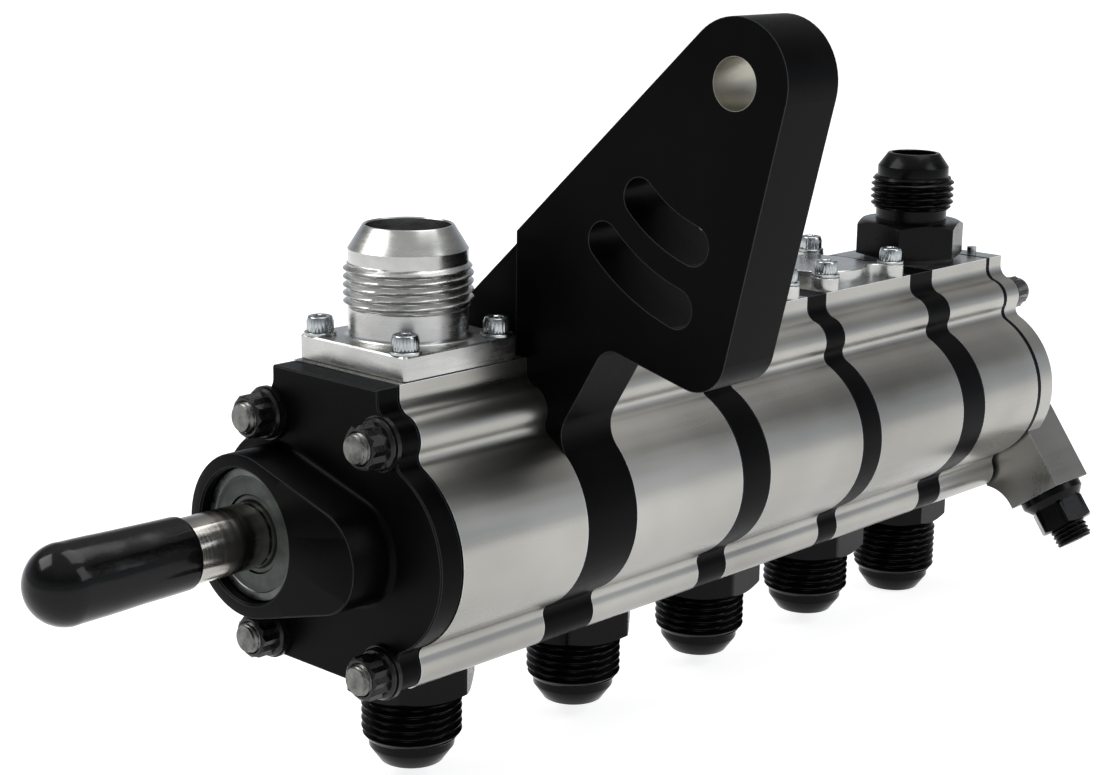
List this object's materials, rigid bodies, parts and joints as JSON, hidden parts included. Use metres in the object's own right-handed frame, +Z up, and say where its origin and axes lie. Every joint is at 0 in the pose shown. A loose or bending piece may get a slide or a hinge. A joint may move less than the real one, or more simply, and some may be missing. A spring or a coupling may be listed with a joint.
{
  "type": "dry sump oil pump",
  "caption": "Multi-stage dry sump oil pump: stacked aluminium stages on two shafts, slotted pivot bracket, hose fittings, pressure regulator, belt-drive shaft end.",
  "frame": {"origin": "centre of the bracket's pivot bore, on the bracket's front face (the face towards the drive shaft end)", "axes": "+Z up, away from the inlet fittings; +Y from the drive end to the regulator end, along both shafts and the pivot bore; +X towards the side the arm leans to"},
  "size_m": [0.1425, 0.3705, 0.2038],
  "materials": {
    "machined_aluminium": "machined and lightly brushed",
    "black_anodised": "black anodised, satin",
    "bright_steel": "ground",
    "zinc_steel": "zinc plated",
    "black_steel": "black oxide",
    "rotor_alloy": "hard anodised",
    "vinyl": "dipped black vinyl, glossy",
    "seal_rubber": "moulded",
    "bronze": "sintered bronze"
  },
  "bodies": {
    "pump": {"front_cover": "black_anodised", "stage_housing_1": "machined_aluminium", "stage_housing_2": "machined_aluminium", "stage_housing_3": "machined_aluminium", "stage_housing_4": "machined_aluminium", "stage_housing_5": "machined_aluminium", "mount_bracket": "black_anodised", "divider_plate_2": "black_anodised", "divider_plate_3": "black_anodised", "divider_plate_4": "black_anodised", "rear_seal_plate": "black_anodised", "rear_cover": "machined_aluminium", "rear_cover_plug": "bright_steel", "bearing_outer_ring": "bright_steel", "bearing_shields": "zinc_steel", "shaft_seal": "seal_rubber", "shaft_bushings": "bronze", "through_studs": "bright_steel", "front_washers": "black_steel", "front_nuts": "black_steel", "rear_washers": "black_steel", "rear_nuts": "black_steel", "outlet_fitting": "machined_aluminium", "outlet_flange_screws": "zinc_steel", "outlet_flange_washers": "zinc_steel", "port_cover_3": "machined_aluminium", "port_cover_4": "machined_aluminium", "port_cover_screws": "zinc_steel", "port_cover_washers": "zinc_steel", "inlet_fitting_1": "black_anodised", "inlet_fitting_2": "black_anodised", "inlet_fitting_3": "black_anodised", "inlet_fitting_4": "black_anodised", "inlet_fitting_5": "black_anodised", "pressure_outlet_fitting": "black_anodised", "pressure_outlet_seal": "seal_rubber", "regulator_cap": "black_steel", "regulator_spring": "bright_steel"},
    "drive_train": {"drive_shaft": "bright_steel", "drive_keys": "bright_steel", "bearing_inner_ring": "bright_steel", "bearing_balls": "bright_steel", "drive_rotor_1": "rotor_alloy", "drive_rotor_2": "rotor_alloy", "drive_rotor_3": "rotor_alloy", "drive_rotor_4": "rotor_alloy", "drive_gear": "rotor_alloy"},
    "idler_train": {"idler_shaft": "bright_steel", "idler_keys": "bright_steel", "driven_rotor_1": "rotor_alloy", "driven_rotor_2": "rotor_alloy", "driven_rotor_3": "rotor_alloy", "driven_rotor_4": "rotor_alloy", "driven_gear": "rotor_alloy"},
    "cap": {"shaft_cap": "vinyl"},
    "adjuster": {"regulator_adjuster": "black_steel"},
    "spring_seat": {"regulator_spring_seat": "bright_steel"},
    "poppet": {"regulator_poppet": "bright_steel"}
  },
  "joints": [
    {"name": "drive_spin", "type": "hinge", "parent": "pump", "child": "drive_train", "pos_m": [-0.1015, -0.05165, -0.1171], "axis": [0, 1, 0], "continuous": true},
    {"name": "idler_spin", "type": "hinge", "parent": "pump", "child": "idler_train", "pos_m": [-0.0681, -0.05165, -0.1171], "axis": [0, 1, 0], "continuous": true},
    {"name": "cap_pull", "type": "slide", "parent": "drive_train", "child": "cap", "axis": [0, -1, 0], "range_m": [0, 0.055]},
    {"name": "adjuster_travel", "type": "slide", "parent": "pump", "child": "spring_seat", "axis": [0.585, 0, -0.8111], "range_m": [-0.002, 0.003]},
    {"name": "adjuster_turn", "type": "hinge", "parent": "spring_seat", "child": "adjuster", "pos_m": [-0.03885, 0.2313, -0.15765], "axis": [0.585, 0, -0.8111], "range_deg": [-576, 864]},
    {"name": "poppet_lift", "type": "slide", "parent": "pump", "child": "poppet", "axis": [0.585, 0, -0.8111], "range_m": [0, 0.004], "stiffness_N_per_m": 6000, "springref_m": -0.005, "deforming": ["regulator_spring"]}
  ],
  "couplings": [
    {"joint": "idler_spin", "follows": "drive_spin", "ratio": -1},
    {"joint": "adjuster_turn", "follows": "adjuster_travel", "rad_per_m": 5026.5}
  ]
}
